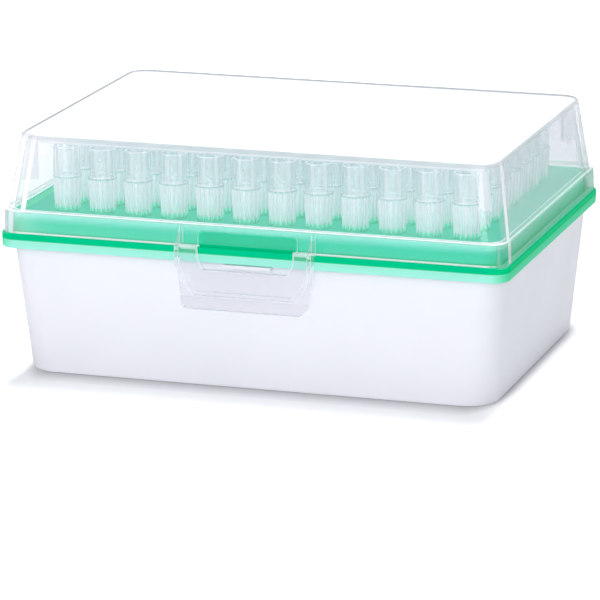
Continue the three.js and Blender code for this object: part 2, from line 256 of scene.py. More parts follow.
class Shader:
    """The node tree of a material, or of another owner with its kind of output, and calls to fill it."""

    def __init__(self, name, owner=None, output="ShaderNodeOutputMaterial"):
        self.owner = owner or bpy.data.materials.new(name)
        self.owner.use_nodes = True
        self.tree = self.owner.node_tree
        self.tree.nodes.clear()
        self.output = self.add(output)

    def add(self, kind, inputs=None, **settings):
        node = self.tree.nodes.new(kind)
        for key, value in settings.items():
            setattr(node, key, value)
        for key, value in (inputs or {}).items():
            if isinstance(value, bpy.types.NodeSocket):
                self.tree.links.new(value, node.inputs[key])
            else:
                node.inputs[key].default_value = value
        return node

    def position(self):
        return self.add("ShaderNodeTexCoord").outputs["Object"]

    def axes(self):
        """X, Y and Z of the place, in metres."""
        return self.add("ShaderNodeSeparateXYZ", {"Vector": self.position()}).outputs

    def normals(self):
        """X, Y and Z of the way the surface faces."""
        return self.add("ShaderNodeSeparateXYZ", {
            "Vector": self.add("ShaderNodeTexCoord").outputs["Normal"]}).outputs

    def noise(self, scale, detail):
        inputs = {"Vector": self.position(), "Scale": scale, "Detail": detail, "Roughness": 0.5}
        return self.add("ShaderNodeTexNoise", inputs).outputs["Fac"]

    def spread(self, value, low, high, start=0.3, end=0.7):
        """value, from start to end, as low to high."""
        inputs = {"Value": value, "From Min": start, "From Max": end, "To Min": low, "To Max": high}
        return self.add("ShaderNodeMapRange", inputs).outputs["Result"]

    def spread_mm(self, value, low, high, start, end):
        """The same for a length, with start and end in millimetres."""
        return self.spread(value, low, high, start * MM, end * MM)

    def band_mm(self, value, rise, fall):
        """1 between the lengths rise and fall, each a (start, end) pair in millimetres, and 0 outside."""
        return self.product(self.spread_mm(value, 0, 1, *rise), self.spread_mm(value, 1, 0, *fall))

    def beyond_mm(self, value, middle, half):
        """How far a length is past half to either side of middle, which are in millimetres."""
        off = self.math("ABSOLUTE", self.math("SUBTRACT", value, middle * MM))
        return self.math("MAXIMUM", self.math("SUBTRACT", off, half * MM), 0.0)

    def ramp(self, value, stops):
        node = self.add("ShaderNodeValToRGB", {"Fac": value})
        for place, colour in stops[:-2]:
            node.color_ramp.elements.new(place)
        for element, (place, colour) in zip(node.color_ramp.elements, stops):
            element.position = place
            element.color = (*colour, 1)
        return node.outputs["Color"]

    def steps(self, value, stops):
        """A number that follows value through (place, number) stops."""
        return self.ramp(value, [(place, (number, number, number)) for place, number in stops])

    def math(self, operation, *values, clamp=False):
        inputs = dict(enumerate(values))
        return self.add("ShaderNodeMath", inputs, operation=operation, use_clamp=clamp).outputs[0]

    def product(self, first, *others):
        for other in others:
            first = self.math("MULTIPLY", first, other)
        return first

    def largest(self, first, *others):
        for other in others:
            first = self.math("MAXIMUM", first, other)
        return first

    def weighted(self, *pairs, clamp=True):
        """The sum of (value, weight) pairs, by default kept between 0 and 1."""
        total = 0.0
        for value, weight in pairs[:-1]:
            total = self.math("MULTIPLY_ADD", value, weight, total)
        return self.math("MULTIPLY_ADD", *pairs[-1], total, clamp=clamp)

    def length(self, x, y):
        """Length of the flat vector (x, y)."""
        flat = self.add("ShaderNodeCombineXYZ", {"X": x, "Y": y}).outputs[0]
        return self.add("ShaderNodeVectorMath", {0: flat}, operation="LENGTH").outputs["Value"]

    def mix(self, factor, first, second, **settings):
        """A colour that goes from first to second by factor."""
        inputs = {"Factor": factor, "A": first, "B": second}
        return self.add("ShaderNodeMix", inputs, data_type="RGBA", **settings).outputs["Result"]

    def seen(self, path):
        """1 for the rays that make the picture, straight, reflected or through clear plastic, else 0."""
        return self.largest(path["Is Camera Ray"], path["Is Glossy Ray"], path["Is Transmission Ray"])

    def bump(self, height, strength, distance):
        inputs = {"Height": height, "Strength": strength, "Distance": distance}
        return self.add("ShaderNodeBump", inputs).outputs["Normal"]

    def finish(self, surface):
        self.tree.links.new(surface, self.output.inputs["Surface"])
        return self.owner


def see_through(shader, cover, body, tint, gloss_roughness, lamp_tint=(0.98, 0.985, 0.985, 1)):
    """A thin wall: body over the share cover of it, the rest clear, under a gloss. Lamps shine through it."""
    clear = shader.add("ShaderNodeBsdfTransparent", {"Color": tint})
    wall = shader.add("ShaderNodeMixShader", {0: cover, 1: clear.outputs[0], 2: body})
    gloss = shader.add("ShaderNodeBsdfAnisotropic", {"Color": (1, 1, 1, 1), "Roughness": gloss_roughness})
    edge_on = shader.add("ShaderNodeLayerWeight", {"Blend": 0.5}).outputs["Facing"]
    reflected = shader.math("MULTIPLY_ADD", shader.math("POWER", edge_on, 4.0), 0.12, 0.03)
    shiny = shader.add("ShaderNodeMixShader", {0: reflected, 1: wall.outputs[0], 2: gloss.outputs[0]})
    shadow_ray = shader.add("ShaderNodeLightPath").outputs["Is Shadow Ray"]
    through = shader.add("ShaderNodeBsdfTransparent", {"Color": lamp_tint})
    lit = shader.add("ShaderNodeMixShader", {0: shadow_ray, 1: shiny.outputs[0], 2: through.outputs[0]})
    return lit.outputs[0]


def milky(shader, colour, roughness, through):
    """Plastic that light scatters from, and by the share through also passes through."""
    front = shader.add("ShaderNodeBsdfPrincipled",
                       {"Base Color": colour, "Roughness": roughness, "IOR": 1.49})
    back = shader.add("ShaderNodeBsdfTranslucent", {"Color": colour})
    return shader.add("ShaderNodeMixShader", {0: through, 1: front.outputs[0], 2: back.outputs[0]}).outputs[0]


# ------------------------------------------------------------------ materials

def white_plastic():
    """Moulded white polypropylene: faint mottling, satin, with a very fine grain."""
    s = Shader("white_plastic")
    colour = s.ramp(s.spread(s.noise(35, 4), 0, 1),
                    [(0.0, (0.82, 0.822, 0.872)), (1.0, (0.855, 0.856, 0.90))])
    body = s.add("ShaderNodeBsdfPrincipled", {
        "Base Color": colour,
        "Roughness": s.spread(s.noise(220, 5), 0.34, 0.46),
        "Normal": s.bump(s.noise(1800, 2), 0.06, 0.00008),
        "Specular IOR Level": 0.25,
    })
    return s.finish(body.outputs[0])


def green_plastic():
    """Translucent green: pale where the thin lip stands off the tub, deep where the flange is thick."""
    s = Shader("green_plastic")
    axes, normal = s.axes(), s.normals()
    height, out_x = axes["Z"], s.math("ABSOLUTE", axes["X"])
    place = s.spread_mm(height, 0, 1, 31.0, 39.5)
    front = s.ramp(place, [
        (0.0, (0.38, 0.86, 0.74)), (0.25, (0.32, 0.84, 0.66)), (0.27, (0.0, 0.54, 0.23)),
        (0.47, (0.0, 0.58, 0.28)), (0.50, (0.05, 0.71, 0.46)), (0.72, (0.035, 0.69, 0.44)),
        (0.88, (0.10, 0.79, 0.59)), (1.0, (0.17, 0.85, 0.68)),
    ])
    # The faces turned to the ends; from 0.87 up their colour is painted lighter, for light the lamps don't
    # give them.
    end = s.ramp(place, [
        (0.0, (0.13, 0.80, 0.45)), (0.25, (0.09, 0.76, 0.40)), (0.27, (0.0, 0.66, 0.24)),
        (0.47, (0.0, 0.66, 0.26)), (0.50, (0.02, 0.62, 0.36)), (0.84, (0.03, 0.68, 0.42)),
        (0.87, (0.2, 0.92, 0.62)), (1.0, (0.2, 0.92, 0.62)),
    ])
    # Round the corners and along the ends the lip is a deeper green than along the front.
    turned = s.spread(s.math("ABSOLUTE", normal["X"]), 0, 1, 0.1, 0.9)
    facing_up = s.spread(s.math("ABSOLUTE", normal["Z"]), 0, 1, 0.6, 0.9)
    block_top = s.product(facing_up, s.spread_mm(height, 0, 1, 36, 37))
    flange_end = s.product(facing_up, s.band_mm(height, (34.2, 34.3), (34.8, 34.9)),
                           s.spread_mm(out_x, 0, 1, 60, 60.5))
    flange = s.ramp(s.spread_mm(out_x, 0, 1, 61.9, 62.3),
                    [(0.0, (0.10, 0.50, 0.34)), (1.0, (0.0, 0.42, 0.18))])
    # Where the lid's wall is cut away behind the latch the bare block is painted deeper, as the latch's
    # shade.
    bare_and_shaded = s.product(s.spread_mm(out_x, 1, 0, 11, 12.2), s.spread_mm(axes["Y"], 1, 0, -42.5, -42.3),
                     s.band_mm(height, (35.1, 35.2), (37.6, 38.6)))
    colour = s.mix(turned, front, end)
    colour = s.mix(block_top, colour, (0.05, 0.6, 0.4, 1))
    colour = s.mix(flange_end, colour, flange)
    colour = s.mix(bare_and_shaded, colour, (0.06, 0.6, 0.36, 1))
    mottling = s.ramp(s.noise(45, 3), [(0.3, (0.95, 0.97, 0.96)), (0.7, (1, 1, 1))])
    colour = s.mix(1.0, colour, mottling, blend_type="MULTIPLY")
    body = s.add("ShaderNodeBsdfPrincipled", {
        "Base Color": colour,
        "Specular IOR Level": 0.004,
        "Roughness": s.spread(s.noise(300, 4), 0.28, 0.4),
        "IOR": 1.49,
    })
    lit_through = s.add("ShaderNodeBsdfTranslucent", {"Color": colour})
    thin = s.spread_mm(height, 0, 0.1, 36.0, 38.3)
    whole = s.add("ShaderNodeMixShader", {0: thin, 1: body.outputs[0], 2: lit_through.outputs[0]})
    return s.finish(whole.outputs[0])


def tip_plastic():
    """Natural polypropylene, thin enough to see through: clear barrel, white ribs; highlights, shade and
    green painted.
    """
    s = Shader("tip_plastic")
    axes = s.axes()
    height, radius = axes["Z"], s.length(axes["X"], axes["Y"])
    up = s.spread_mm(height, 0, 1, 37, 55)
    outside = s.spread_mm(radius, 0, 1, 2.95, 3.02)
    on_collar = s.steps(up, [(0.0, 0), (0.098, 0), (0.101, 1), (0.535, 1), (0.54, 0), (1.0, 0)])
    barrel = s.spread_mm(height, 0, 1, 46.85, 46.95)
    rib_line = s.spread(height, RIBS["foot"] * MM, RIBS["head"] * MM, RIBS["bottom"] * MM, RIBS["top"] * MM)
    rib = s.product(s.spread_mm(s.math("SUBTRACT", rib_line, radius), 1, 0, 0.03, 0.12), on_collar)
    # Painted highlight lines at the barrel's foot and mouth, and painted shade along the ring under the
    # barrel.
    highlight_lines = s.steps(up, [(0.0, 0), (0.545, 0), (0.549, 0.6), (0.562, 0.6), (0.568, 0), (0.93, 0),
                         (0.935, 0.5), (1.0, 0.5)])
    painted_ring_shade = s.steps(up, [(0.0, 0), (0.528, 0), (0.532, 0.8), (0.543, 0.8), (0.547, 0), (1.0, 0)])
    # Painted highlight streaks, six round the barrel, and six sharp glints on the collar.
    turn = s.math("MULTIPLY", s.math("ARCTAN2", axes["Y"], axes["X"]), 6.0)
    streak_wave = s.math("COSINE", s.math("SUBTRACT", turn, math.radians(108)))
    barrel_highlight_streaks = s.product(s.spread(streak_wave, 0, 0.3, 0.6, 0.97), barrel)
    glint_wave = s.math("COSINE", s.math("SUBTRACT", turn, math.radians(67.5)))
    collar_glints = s.product(s.spread(glint_wave, 0.95, 0, -0.975, -0.88), on_collar, outside)
    slantwise = s.add("ShaderNodeLayerWeight", {"Blend": 0.5}).outputs["Facing"]
    facing = s.product(s.spread(slantwise, 0, 0.3, 0.3, 1.0), s.spread_mm(height, 0, 1, 38.8, 39.0))
    solid_collar = s.product(outside, on_collar, s.spread_mm(height, 0, 0.42, 38.8, 38.95))
    inside = s.product(s.spread_mm(height, 0, 0.4, 39.4, 39.8),
                       s.math("SUBTRACT", on_collar, outside, clamp=True))
    # Between the points of the ribs the core is painted the deck's green, a painted reflection of the deck.
    core = s.product(s.spread_mm(height, 1, 0, 39.35, 39.8), s.math("SUBTRACT", 1.0, rib, clamp=True))
    cover = s.weighted((solid_collar, 1), (inside, 1), (barrel, 0.12), (facing, 1), (rib, 0.4),
                       (barrel_highlight_streaks, 1), (collar_glints, 1), (painted_ring_shade, 0.6), (core, 0.8), (highlight_lines, 1))
    whiteness = s.weighted((barrel_highlight_streaks, 3), (on_collar, 0.45), (rib, 1), (highlight_lines, 2), (facing, 1.2),
                           (collar_glints, 1))
    colour = s.ramp(s.noise(90, 3), [(0.0, (0.70, 0.85, 0.82)), (1.0, (0.76, 0.88, 0.86))])
    colour = s.mix(whiteness, colour, (0.93, 0.94, 0.97, 1))
    colour = s.mix(painted_ring_shade, colour, (0.28, 0.58, 0.50, 1))
    colour = s.mix(core, colour, (0.15, 0.85, 0.65, 1))
    body = milky(s, colour, s.spread(s.noise(500, 3), 0.2, 0.3), s.spread(collar_glints, 0.45, 0, 0, 1))
    return s.finish(see_through(s, cover, body, (0.995, 0.995, 0.995, 1), 0.2))


def clear_plastic():
    """Clear lid, slightly milky: frosted on top, and whiter where its wall is seen edge on.

    The mesh is one closed solid, so each part is told from the others by place and by the way it faces.
    """
    s = Shader("clear_plastic")
    axes, normal = s.axes(), s.normals()
    height = axes["Z"]
    out_x, out_y = s.math("ABSOLUTE", axes["X"]), s.math("ABSOLUTE", axes["Y"])
    slant_x, slant_y = s.math("ABSOLUTE", normal["X"]), s.math("ABSOLUTE", normal["Y"])
    facing = s.add("ShaderNodeLayerWeight", {"Blend": 0.5}).outputs["Facing"]
    up = s.spread_mm(height, 0, 1, 34, 59)
    # The skirt below the step, and the wall above it.
    low = s.spread_mm(height, 1, 0, 39.9, 40.0)
    high = s.math("SUBTRACT", 1.0, low)
    # Above 0 on walls towards the viewer and below 0 on the far ones, whose normals are turned to the viewer.
    outward = s.math("ADD", s.product(axes["X"], normal["X"]), s.product(axes["Y"], normal["Y"]))
    # 1 at the front left and back right corners, and -1 at the other two.
    sides = s.math("SIGN", s.product(axes["X"], axes["Y"]))
    diagonal = s.product(normal["X"], normal["Y"], sides)

    # The top: a frosted panel, with a clear border left along the back and the left end, painted grey as
    # shade.
    aside = s.length(s.beyond_mm(axes["X"], 0.65, 53.45), s.beyond_mm(axes["Y"], -1.35, 35.15))
    frost = s.product(s.spread_mm(aside, 1, 0, 4.3, 4.6), s.spread_mm(height, 0, 1, 57.93, 58.03))
    rim = s.math("SUBTRACT", s.spread_mm(height, 0, 1, 57.0, 57.15), frost, clamp=True)
    # Where the rim is painted grey for shade: along the back and by the left end.
    behind = s.largest(s.spread_mm(axes["Y"], 0, 1, 37, 38.5), s.product(
        s.spread_mm(axes["X"], 1, 0, -57.5, -56.5), s.spread_mm(axes["Y"], 0, 1, -38, -35)))
    # A painted band for the shaded underside of the top, seen through the wall below its edge.
    under = s.product(s.band_mm(height, (56.3, 56.6), (57.0, 57.1)), s.spread(slant_y, 0, 1, 0.8, 0.9))
    top = s.weighted((s.product(frost, s.spread(facing, 0.7, 0.97, 0.0, 0.6)), 1), (under, 0.55),
                     (s.product(rim, s.spread(behind, 0.5, 0.85, 0, 1)), 1), clamp=False)

    # Painted highlights on the skirt's foot and step, near faces alone, and on the far walls' step seen from
    # inside.
    near = s.product(s.spread_mm(out_y, 1, 0, 44.9, 45.2), s.spread_mm(outward, 0, 1, -4, -2))
    foot = s.product(
        s.steps(up, [(0.0, 0.4), (0.0275, 0.95), (0.0335, 0.95), (0.0385, 0), (1.0, 0)]),
        s.spread(slant_x, 1, 0.7, 0.5, 0.9),
        s.largest(s.spread(s.math("ABSOLUTE", normal["Z"]), 1, 0, 0.5, 0.9),
                  s.spread_mm(out_x, 1, 0, 57.5, 58.5)))
    step = s.product(s.steps(up, [(0.0, 0), (0.237, 0), (0.241, 0.85), (0.247, 0.85), (0.251, 0), (1.0, 0)]),
                     s.spread_mm(out_x, 1, 0.6, 60.9, 61.3))
    far_highlight_line = s.steps(up, [(0.0, 0), (0.236, 0), (0.24, 0.55), (0.262, 0.55), (0.266, 0), (1.0, 0)])
    far_step_highlight = s.product(far_highlight_line, s.spread_mm(outward, 1, 0, -4, -2))

    # Painted highlights on the rounded corners. dx is 0 where the front starts to go round, and dy where the
    # end does.
    dx = s.math("SUBTRACT", out_x, s.math("MULTIPLY_ADD", low, 1.95 * MM, s.spread_mm(
        height, 56.1 * MM, 53.84 * MM, 40.3, 57.3)))
    dy = s.math("SUBTRACT", out_y, s.math("MULTIPLY_ADD", low, 2.0 * MM, s.spread_mm(
        height, 38.5 * MM, 36.22 * MM, 40.3, 57.3)))
    away = s.length(s.math("MAXIMUM", dx, 0.0), s.math("MAXIMUM", dy, 0.0))
    outer = s.spread_mm(s.math("MULTIPLY_ADD", low, 1.1 * MM, away), 0, 1, 4.4, 4.5)
    along_x, along_y = s.spread_mm(dx, 0, 1, -2.5, 2.5), s.spread_mm(dy, 0, 1, -2.5, 2.5)
    on_front = s.spread(s.math("MULTIPLY_ADD", low, 0.65, slant_y), 0, 1, 0.8, 0.9)
    on_side = s.spread(slant_x, 0, 1, 0.8, 0.9)
    front_end_highlight = s.math(
        "ADD", s.product(high, s.steps(along_x, [(0.0, 0), (0.40, 0), (0.42, 0.95), (0.64, 0.95), (0.68, 0),
                                                 (1.0, 0)])),
        s.product(low, s.steps(along_x, [(0.0, 0), (0.57, 0), (0.6, 0.7), (1.0, 0.7)])))
    side_end_highlight = s.math(
        "ADD", s.product(high, s.steps(along_y, [(0.0, 0), (0.24, 0), (0.28, 0.6), (0.45, 0.95), (0.53, 0.95),
                                                 (0.68, 0.6), (0.71, 0), (1.0, 0)])),
        s.product(low,
                  s.steps(along_y, [(0.0, 0), (0.05, 0), (0.08, 0.5), (0.53, 0.6), (0.57, 0), (1.0, 0)])))
    hairline_highlights = s.steps(slant_x, [(0.0, 0), (0.48, 0), (0.49, 0.6), (0.52, 0.6), (0.53, 0), (0.6, 0),
                                  (0.61, 0.6), (0.64, 0.6), (0.65, 0), (1.0, 0)])
    corners = s.math("ADD", s.product(front_end_highlight, on_front, s.spread(sides, 0, 1, -0.5, 0.5)),
                     s.product(side_end_highlight, on_side, s.spread(sides, 1, 0, -0.5, 0.5)))
    corners = s.product(s.largest(corners, s.product(hairline_highlights, low)), outer,
                        s.spread_mm(axes["Y"], 1, 0.25, -1, 1), s.spread_mm(out_x, 0, 1, 53, 53.3))
    # All the painted highlights of the lid's wall together.
    bright = s.largest(s.product(s.largest(s.math("ADD", foot, step), corners), near), far_step_highlight)

    # The webs stand across the corners, so their faces look along them.
    by_web = s.spread_mm(height, 0, 1, 46.5, 47)
    # The webs' inner edges get a painted highlight.
    web_edge_highlight = s.product(s.spread(diagonal, 0, 1, 0.3, 0.45), s.spread_mm(out_x, 1, 0, 55.0, 55.2), by_web)
    web = s.largest(s.product(s.spread(diagonal, 1, 0, -0.45, -0.3), by_web), s.product(web_edge_highlight, 1.5))

    # The latch is all edges: painted highlights along the fronts and roots of its ribs and fins, and the
    # window.
    latch = s.spread_mm(axes["Y"], 1, 0, -45.7, -45.5)
    near_latch = s.product(s.spread_mm(out_x, 1, 0, 17.5, 18), s.spread_mm(axes["Y"], 1, 0, -44.0, -43.9))
    highlight_lines = s.largest(s.spread_mm(axes["Y"], 1, 0, -48.1, -47.9), s.spread_mm(axes["Y"], 0, 1, -44.95, -44.8),
                      s.spread_mm(height, 1, 0, 32.5, 33), s.spread_mm(out_x, 1, 0, 12.4, 12.6))
    highlight_lines = s.product(s.math("MULTIPLY_ADD", highlight_lines, 0.75, 0.12), s.spread(slant_x, 0, 1, 0.45, 0.65),
                      near_latch)
    # Painted highlights on the shelf's front and the latch's level faces, over a light haze on the whole
    # latch.
    shelf = s.product(s.spread_mm(height, 0, 0.4, 34.65, 34.7), latch, s.spread(slant_y, 0, 1, 0.8, 0.9))
    latch_highlight = s.largest(highlight_lines, shelf)
    turned_up = s.math("POWER", s.math("ABSOLUTE", normal["Z"]), 3.0)
    latch_haze_and_highlight = s.product(latch, s.math("MULTIPLY_ADD", turned_up, 0.4, 0.05))

    # How much of the light the plastic holds back, part by part.
    high_haze = s.math("ADD", s.spread(s.noise(40, 3), 0.035, 0.06), s.spread(facing, 0, 0.35, 0.35, 1.0))
    # Below the step the haze is heavier towards the left end and just under the step: a painted sheen.
    low_haze_and_sheen = s.weighted(
        (s.spread_mm(axes["X"], 0.05, 0.0, -60, 30), 1), (s.spread(facing, 0, 0.05, 0.35, 1.0), 1),
        (s.spread_mm(height, 0, 0.16, 37.6, 39.8), 1), (s.spread_mm(axes["X"], 0.12, 0, -58, -50), 1),
        clamp=False)
    # The back corners' arcs are painted grey as shade, and below the step painted with the deck's green.
    back_corner_shade_and_green = s.product(s.spread_mm(axes["Y"], 0, 1, 34, 37), s.spread(slant_x, 0, 1, 0.3, 0.5),
                         s.spread(diagonal, 0, 1, -0.3, -0.1))
    grazing = s.product(s.spread(facing, 0, 0.8, 0.78, 0.96), high)
    cover = s.weighted(
        (high_haze, high), (low_haze_and_sheen, low), (grazing, 0.3), (back_corner_shade_and_green, s.math("MULTIPLY_ADD", low, 0.3, 0.3)),
        (web, 0.4), (bright, 1), (latch_highlight, 1), (latch_haze_and_highlight, 1), (top, 1))

    # Painted shade: grey on walls seen edge on, the back corners, the rim at the back and left, under the
    # top, the latch.
    shaded = s.largest(grazing, s.product(back_corner_shade_and_green, 0.5), s.product(rim, s.spread(behind, 0.32, 1.0, 0, 1)),
                       s.product(under, 0.12), s.product(latch, s.spread(latch_highlight, 0.5, 0, 0.1, 0.4)))
    colour = s.ramp(s.noise(60, 3), [(0.0, (0.95, 0.93, 0.98)), (1.0, (0.985, 0.965, 0.995))])
    colour = s.mix(shaded, colour, (0.43, 0.45, 0.5, 1))
    colour = s.mix(s.product(back_corner_shade_and_green, low), colour, (0.17, 0.6, 0.42, 1))
    # Painted stripes on the skirt's round end: the deck's green and the pale surroundings as seen through it.
    painted_stripes = s.ramp(along_x, [
        (0.0, (0.80, 0.78, 0.86)), (0.69, (0.80, 0.78, 0.86)), (0.71, (0.72, 0.86, 0.87)),
        (0.86, (0.72, 0.86, 0.87)), (0.88, (0.22, 0.66, 0.5)), (0.93, (0.22, 0.66, 0.5)),
        (0.95, (0.63, 0.63, 0.70)), (1.0, (0.63, 0.63, 0.70))])
    colour = s.mix(s.product(low, on_front, s.spread_mm(dx, 0, 1, 0.3, 0.4)), colour, painted_stripes)
    solid = s.math("MAXIMUM", frost, bright, clamp=True)
    body = milky(s, colour, 0.3, s.spread(solid, 0.45, 0.02, 0, 1))

    # The longer way through the wall, seen slantwise, takes more of the light.
    depth = s.ramp(facing, [(0.0, (0.98, 0.973, 0.988)), (0.45, (0.975, 0.968, 0.983)),
                            (0.7, (0.91, 0.91, 0.92)), (0.82, (0.82, 0.825, 0.85)),
                            (1.0, (0.66, 0.67, 0.71))])
    # Below the step, edge on, the wall's tint is a painted green of the deck seen along it.
    painted_green_tint = s.ramp(facing, [(0.0, (0.985, 0.985, 0.985)), (0.6, (0.985, 0.985, 0.985)),
                                   (0.78, (0.88, 0.96, 0.93)), (0.85, (0.5, 0.84, 0.74)),
                                   (1.0, (0.42, 0.62, 0.58))])
    latch_tint = s.ramp(latch, [(0.0, (1, 1, 1)), (1.0, (0.97, 0.968, 0.98))])
    tint = s.mix(1.0, s.mix(low, depth, painted_green_tint), latch_tint, blend_type="MULTIPLY")
    lamp_tint = s.ramp(frost, [(0.0, (0.98, 0.985, 0.985)), (1.0, (0.82, 0.82, 0.83))])
    gloss_roughness = s.math("MULTIPLY_ADD", latch, 0.2, s.spread(frost, 0.05, 0.4, 0, 1))
    return s.finish(see_through(s, cover, body, tint, gloss_roughness, lamp_tint))


# ------------------------------------------------------------------ pieces

def ear_outline():
    """Outline of the tub's hinge ears in (y, z)."""
    y, z, radius, back, top = HINGE["y"], HINGE["z"], HINGE["ear"], HINGE["ear_back"], HINGE["ear_top"]
    return [(back, HINGE["ear_foot"]), (y - 0.5, 29.5), *arc(y, z, radius, -60, 180, 20),
            (y - radius, top), (back, top)]


def bevelled(piece, width, segments=2):
    modifier = piece.modifiers.new("bevel", "BEVEL")
    modifier.width = width * MM
    modifier.segments = segments
    modifier.limit_method = "ANGLE"
    modifier.angle_limit = math.radians(40)
    bake_modifiers(piece)
    return piece


def make_tub():
    """The tub's shell with the catch's ledge at the front and the hinge's ears and pins at the back."""
    shell = loft("tub_shell", TUB)
    ledge = front_panel("ledge", rectangle(-CATCH["x"], CATCH["bottom"], CATCH["x"], CATCH["top"]),
                        CATCH["front"], CATCH["back"])
    parts = [shell, bevelled(ledge, CATCH["round"], 3)]
    for x in HINGE["x"]:
        inner = HINGE["half"] + HINGE["gap"]
        outer = inner + HINGE["ear_width"]
        for left, right in ((x - outer, x - inner), (x + inner, x + outer)):
            parts.append(bevelled(side_panel("ear", ear_outline(), left, right), 0.15))
        pin = arc(HINGE["y"], HINGE["z"], HINGE["pin"], 0, 345, 23)
        parts.append(side_panel("pin", pin, x - inner - 0.5, x + inner + 0.5))
    return joined("tub_moulding", parts)


def tip_places():
    """Column, row and centre of each tip, with rows lettered from the back."""
    for row in range(GRID["rows"]):
        for column in range(GRID["columns"]):
            name = f"{'ABCDEFGH'[GRID['rows'] - 1 - row]}{column + 1}"
            x = (column - (GRID["columns"] - 1) / 2) * GRID["pitch"]
            y = (row - (GRID["rows"] - 1) / 2) * GRID["pitch"]
            yield name, x, y


def make_deck():
    """The deck with a hole for each tip."""
    plate = loft("deck_moulding", DECK)
    bm = bmesh.new()
    for _, x, y in tip_places():
        centre = Matrix.Translation((x * MM, y * MM, (HOLE["bottom"] + HOLE["top"]) / 2 * MM))
        bmesh.ops.create_cone(bm, cap_ends=True, segments=HOLE["sides"], radius1=HOLE["radius"] * MM,
                              radius2=HOLE["radius"] * MM, depth=(HOLE["top"] - HOLE["bottom"]) * MM,
                              matrix=centre)
    return combined(plate, [from_bmesh("holes", bm)], "DIFFERENCE")


def rib_height(z):
    """Outer radius of the ribs at height z, or 0 where there are none."""
    if not RIBS["bottom"] - 0.01 <= z <= RIBS["top"] + 0.01:
        return 0
    t = (z - RIBS["bottom"]) / (RIBS["top"] - RIBS["bottom"])
    return RIBS["foot"] + (RIBS["head"] - RIBS["foot"]) * t


def profile_radius(profile, z):
    """Radius at height z of a profile given as (radius, height) points."""
    for (r0, z0), (r1, z1) in zip(profile, profile[1:]):
        if z0 <= z <= z1:
            return r0 if z1 == z0 else r0 + (r1 - r0) * (z - z0) / (z1 - z0)
    return profile[-1][0]


def tip_mesh():
    """One tip: a turned wall whose collar carries ribs that run down past it as points."""
    per_rib = len(RIB_CORNERS)
    sides = RIBS["count"] * per_rib
    # A ring at each bend of the outline, at the ribs' ends and at two heights between them.
    heights = sorted({z for _, z in TIP_OUTSIDE} | {RIBS["bottom"], 39.35, 45.0, RIBS["top"]})
    bm = bmesh.new()
    rings = []
    for z in heights:
        core = profile_radius(TIP_OUTSIDE, z)
        rib = max(rib_height(z), core)
        # The ribs start as points and reach their full width over the first millimetre.
        widening = min(1.0, max(0.0, (z - RIBS["bottom"]) / RIBS["point"]))
        wide = (0.35 + 0.65 * widening) * RIBS["width"] / RIBS["middle"]
        ring = []
        for side in range(sides):
            rib_index, step = divmod(side, per_rib)
            angle = (rib_index + 0.5) * 2 * math.pi / RIBS["count"] + RIB_CORNERS[step] * wide
            radius = rib if step in (2, 3) else core
            ring.append(bm.verts.new((radius * math.cos(angle) * MM, radius * math.sin(angle) * MM, z * MM)))
        rings.append(ring)
    for radius, z in TIP_BORE:
        ring = []
        for v in rings[0]:
            angle = math.atan2(v.co.y, v.co.x)
            ring.append(bm.verts.new((radius * math.cos(angle) * MM, radius * math.sin(angle) * MM, z * MM)))
        rings.append(ring)
    rings.append(rings[0])
    for ring, following in zip(rings, rings[1:]):
        for i in range(sides):
            bm.faces.new((ring[i - 1], ring[i], following[i], following[i - 1]))
    bmesh.ops.recalc_face_normals(bm, faces=bm.faces)
    mesh = bpy.data.meshes.new("ribbed_tip")
    bm.to_mesh(mesh)
    bm.free()
    return mesh


def make_tips(material):
    """All the tips from one mesh. Those that are nodes of their own in the CAD stand in for them."""
    mesh = tip_mesh()
    mesh.materials.append(material)
    mesh.shade_smooth()
    mesh.set_sharp_from_angle(angle=math.radians(CREASE["tip"]))
    for name, x, y in tip_places():
        tip = link(f"ribbed_tip_{name}", mesh)
        tip.location = (x * MM, y * MM, 0)
        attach(tip, "rack")
        if f"tip_{name}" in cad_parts:
            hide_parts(f"tip_{name}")


def latch_outline():
    """Outline of the latch in (x, z)."""
    side, bottom, top = LATCH["half"], LATCH["bottom"], LATCH["top"]
    knee, toe, height = LATCH["knee"], LATCH["toe"], LATCH["knee_height"]
    right = [(toe, bottom), *curve((toe, bottom), (knee - 0.3, bottom), (knee, height)),
             *curve((knee, height), (side, 29.0), (side, top))]
    return [(-x, z) for x, z in reversed(right)] + right


def panel_outline(inset):
    """Outline of the panel that the ribs frame, in (x, z)."""
    side, foot, low = LATCH["half"] - inset, LATCH_RIB["foot"] - inset / 2, LATCH_RIB["low"] + inset
    right = [*curve((foot, low), (side, 27.5 + inset), (side, LATCH_RIB["bend"]), 14), (side, LATCH["top"])]
    return [(-x, z) for x, z in reversed(right)] + right


def window_outline():
    """Outline of the opening between the latch and the skirt, in (x, z)."""
    half, bottom, rounding, top = WINDOW["half"], WINDOW["bottom"], WINDOW["round"], LATCH["top"]
    right = [(half - rounding, bottom),
             *curve((half - rounding, bottom), (half - 0.3, bottom + 0.3), (half, top - 1)), (half, top + 1)]
    return [(-x, z) for x, z in reversed(right)] + right


def notch_outline():
    """Outline of the part of the skirt that is cut away behind the latch, in (x, z)."""
    half, top, rounding, low = NOTCH["half"], NOTCH["top"], NOTCH["round"], LID[0][0] - 1
    right = [(half, low), (half, top - rounding),
             *curve((half, top - rounding), (half, top), (half - rounding, top), 6)]
    return right + [(-x, z) for x, z in reversed(right)]


def lip_face(z):
    """Depth of the finger lip's front face at height z."""
    t = (LATCH["lip_start"] - z) / (LATCH["lip_start"] - LATCH["bottom"])
    return LATCH["front"] + t * (LATCH["lip_front"] - LATCH["front"])


